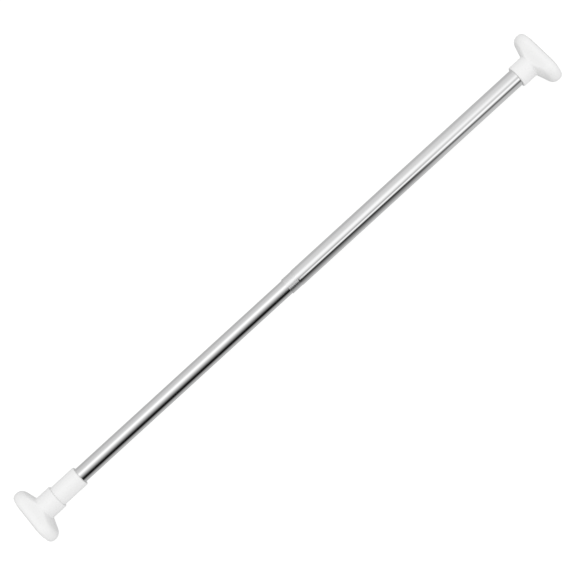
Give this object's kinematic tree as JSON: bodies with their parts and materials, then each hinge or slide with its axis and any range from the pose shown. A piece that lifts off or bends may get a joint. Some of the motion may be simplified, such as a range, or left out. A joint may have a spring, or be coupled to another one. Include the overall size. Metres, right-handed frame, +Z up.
{
  "type": "door security bar",
  "caption": "Telescopic metal bar with a padded T-shaped foot at each end, which a twist lock and a jack collar wedge across a door or between two walls.",
  "frame": {"origin": "middle of the fixed pad's wall face, on the bar's axis", "axes": "+X along the bar to the adjusting end, +Y along the long side of the feet, +Z up with the bar lying on the flat long sides of its feet"},
  "size_m": [0.914, 0.082, 0.042],
  "materials": {
    "stainless": "bright polished stainless tube",
    "white_abs": "glossy moulded plastic",
    "pad_rubber": "matt light elastomer",
    "nylon": "natural nylon",
    "zinc_steel": "bright zinc plate",
    "spring_steel": "oil-blackened spring steel",
    "die_cast": "as-cast light alloy",
    "brass": "turned brass"
  },
  "bodies": {
    "outer": {"outer_tube": "stainless", "guide_bush": "nylon", "fixed_end_plug": "nylon", "fixed_foot": "white_abs", "fixed_foot_screw": "zinc_steel", "fixed_foot_washer": "zinc_steel", "fixed_pad": "pad_rubber"},
    "expander": {"lock_expander": "nylon"},
    "cone": {"lock_cone_nut": "die_cast"},
    "inner": {"inner_tube": "stainless", "lock_plug": "die_cast", "lock_stud": "zinc_steel", "lock_pin": "zinc_steel", "stud_clip": "spring_steel", "jack_guide": "nylon", "guide_rivets": "zinc_steel", "thrust_washer": "brass", "collar_clip": "spring_steel"},
    "collar": {"jack_collar": "white_abs", "jack_nut": "brass"},
    "adjust_end": {"jack_screw": "zinc_steel", "adjust_foot": "white_abs", "adjust_foot_screw": "zinc_steel", "adjust_foot_washer": "zinc_steel", "adjust_pad": "pad_rubber"}
  },
  "joints": [
    {"name": "telescope_slide", "type": "slide", "parent": "outer", "child": "expander", "axis": [1, 0, 0], "range_m": [-0.326, 0.012]},
    {"name": "twist_lock", "type": "hinge", "parent": "expander", "child": "inner", "pos_m": [0.4, 0, 0], "axis": [1, 0, 0], "range_deg": [0, 720]},
    {"name": "wedge_travel", "type": "slide", "parent": "expander", "child": "cone", "axis": [-1, 0, 0], "range_m": [0, 0.003]},
    {"name": "collar_turn", "type": "hinge", "parent": "inner", "child": "collar", "pos_m": [0.86, 0, 0], "axis": [1, 0, 0], "range_deg": [0, 1800]},
    {"name": "foot_extend", "type": "slide", "parent": "inner", "child": "adjust_end", "axis": [1, 0, 0], "range_m": [0, 0.02]}
  ],
  "couplings": [
    {"joint": "twist_lock", "follows": "wedge_travel", "rad_per_m": 4188.8},
    {"joint": "collar_turn", "follows": "foot_extend", "rad_per_m": 1570.8}
  ]
}
